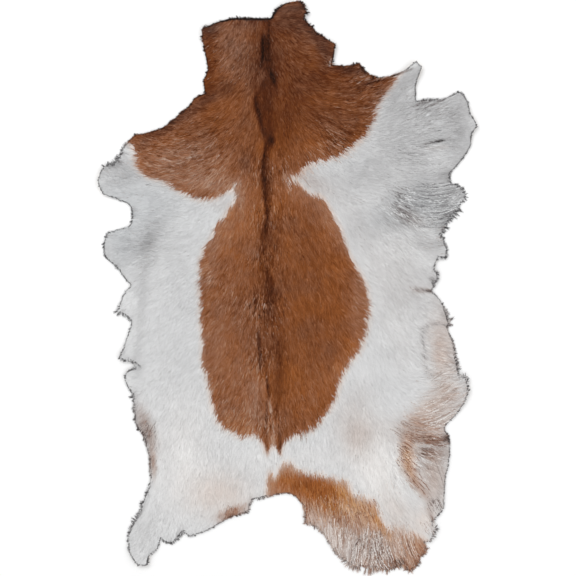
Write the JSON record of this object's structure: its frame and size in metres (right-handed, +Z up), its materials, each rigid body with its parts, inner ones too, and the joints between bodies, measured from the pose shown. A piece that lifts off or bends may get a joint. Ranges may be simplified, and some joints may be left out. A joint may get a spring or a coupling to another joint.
{
  "type": "goatskin rug",
  "caption": "Whole hair-on goat hide rug lying flat, with neck, legs and rump outline, brown and white patches and tufted edges.",
  "frame": {"origin": "middle of the hide's outline at the floor, under its bottom face", "axes": "+Z up from the flesh side to the hair, +Y from the rump to the neck, +X to the right seen from above with the neck at the top"},
  "size_m": [0.626, 0.9548, 0.0105],
  "materials": {
    "goat_hair_and_skin": "sleek short hair over tanned skin"
  },
  "bodies": {
    "root": {"goatskin": "goat_hair_and_skin"}
  },
  "joints": []
}
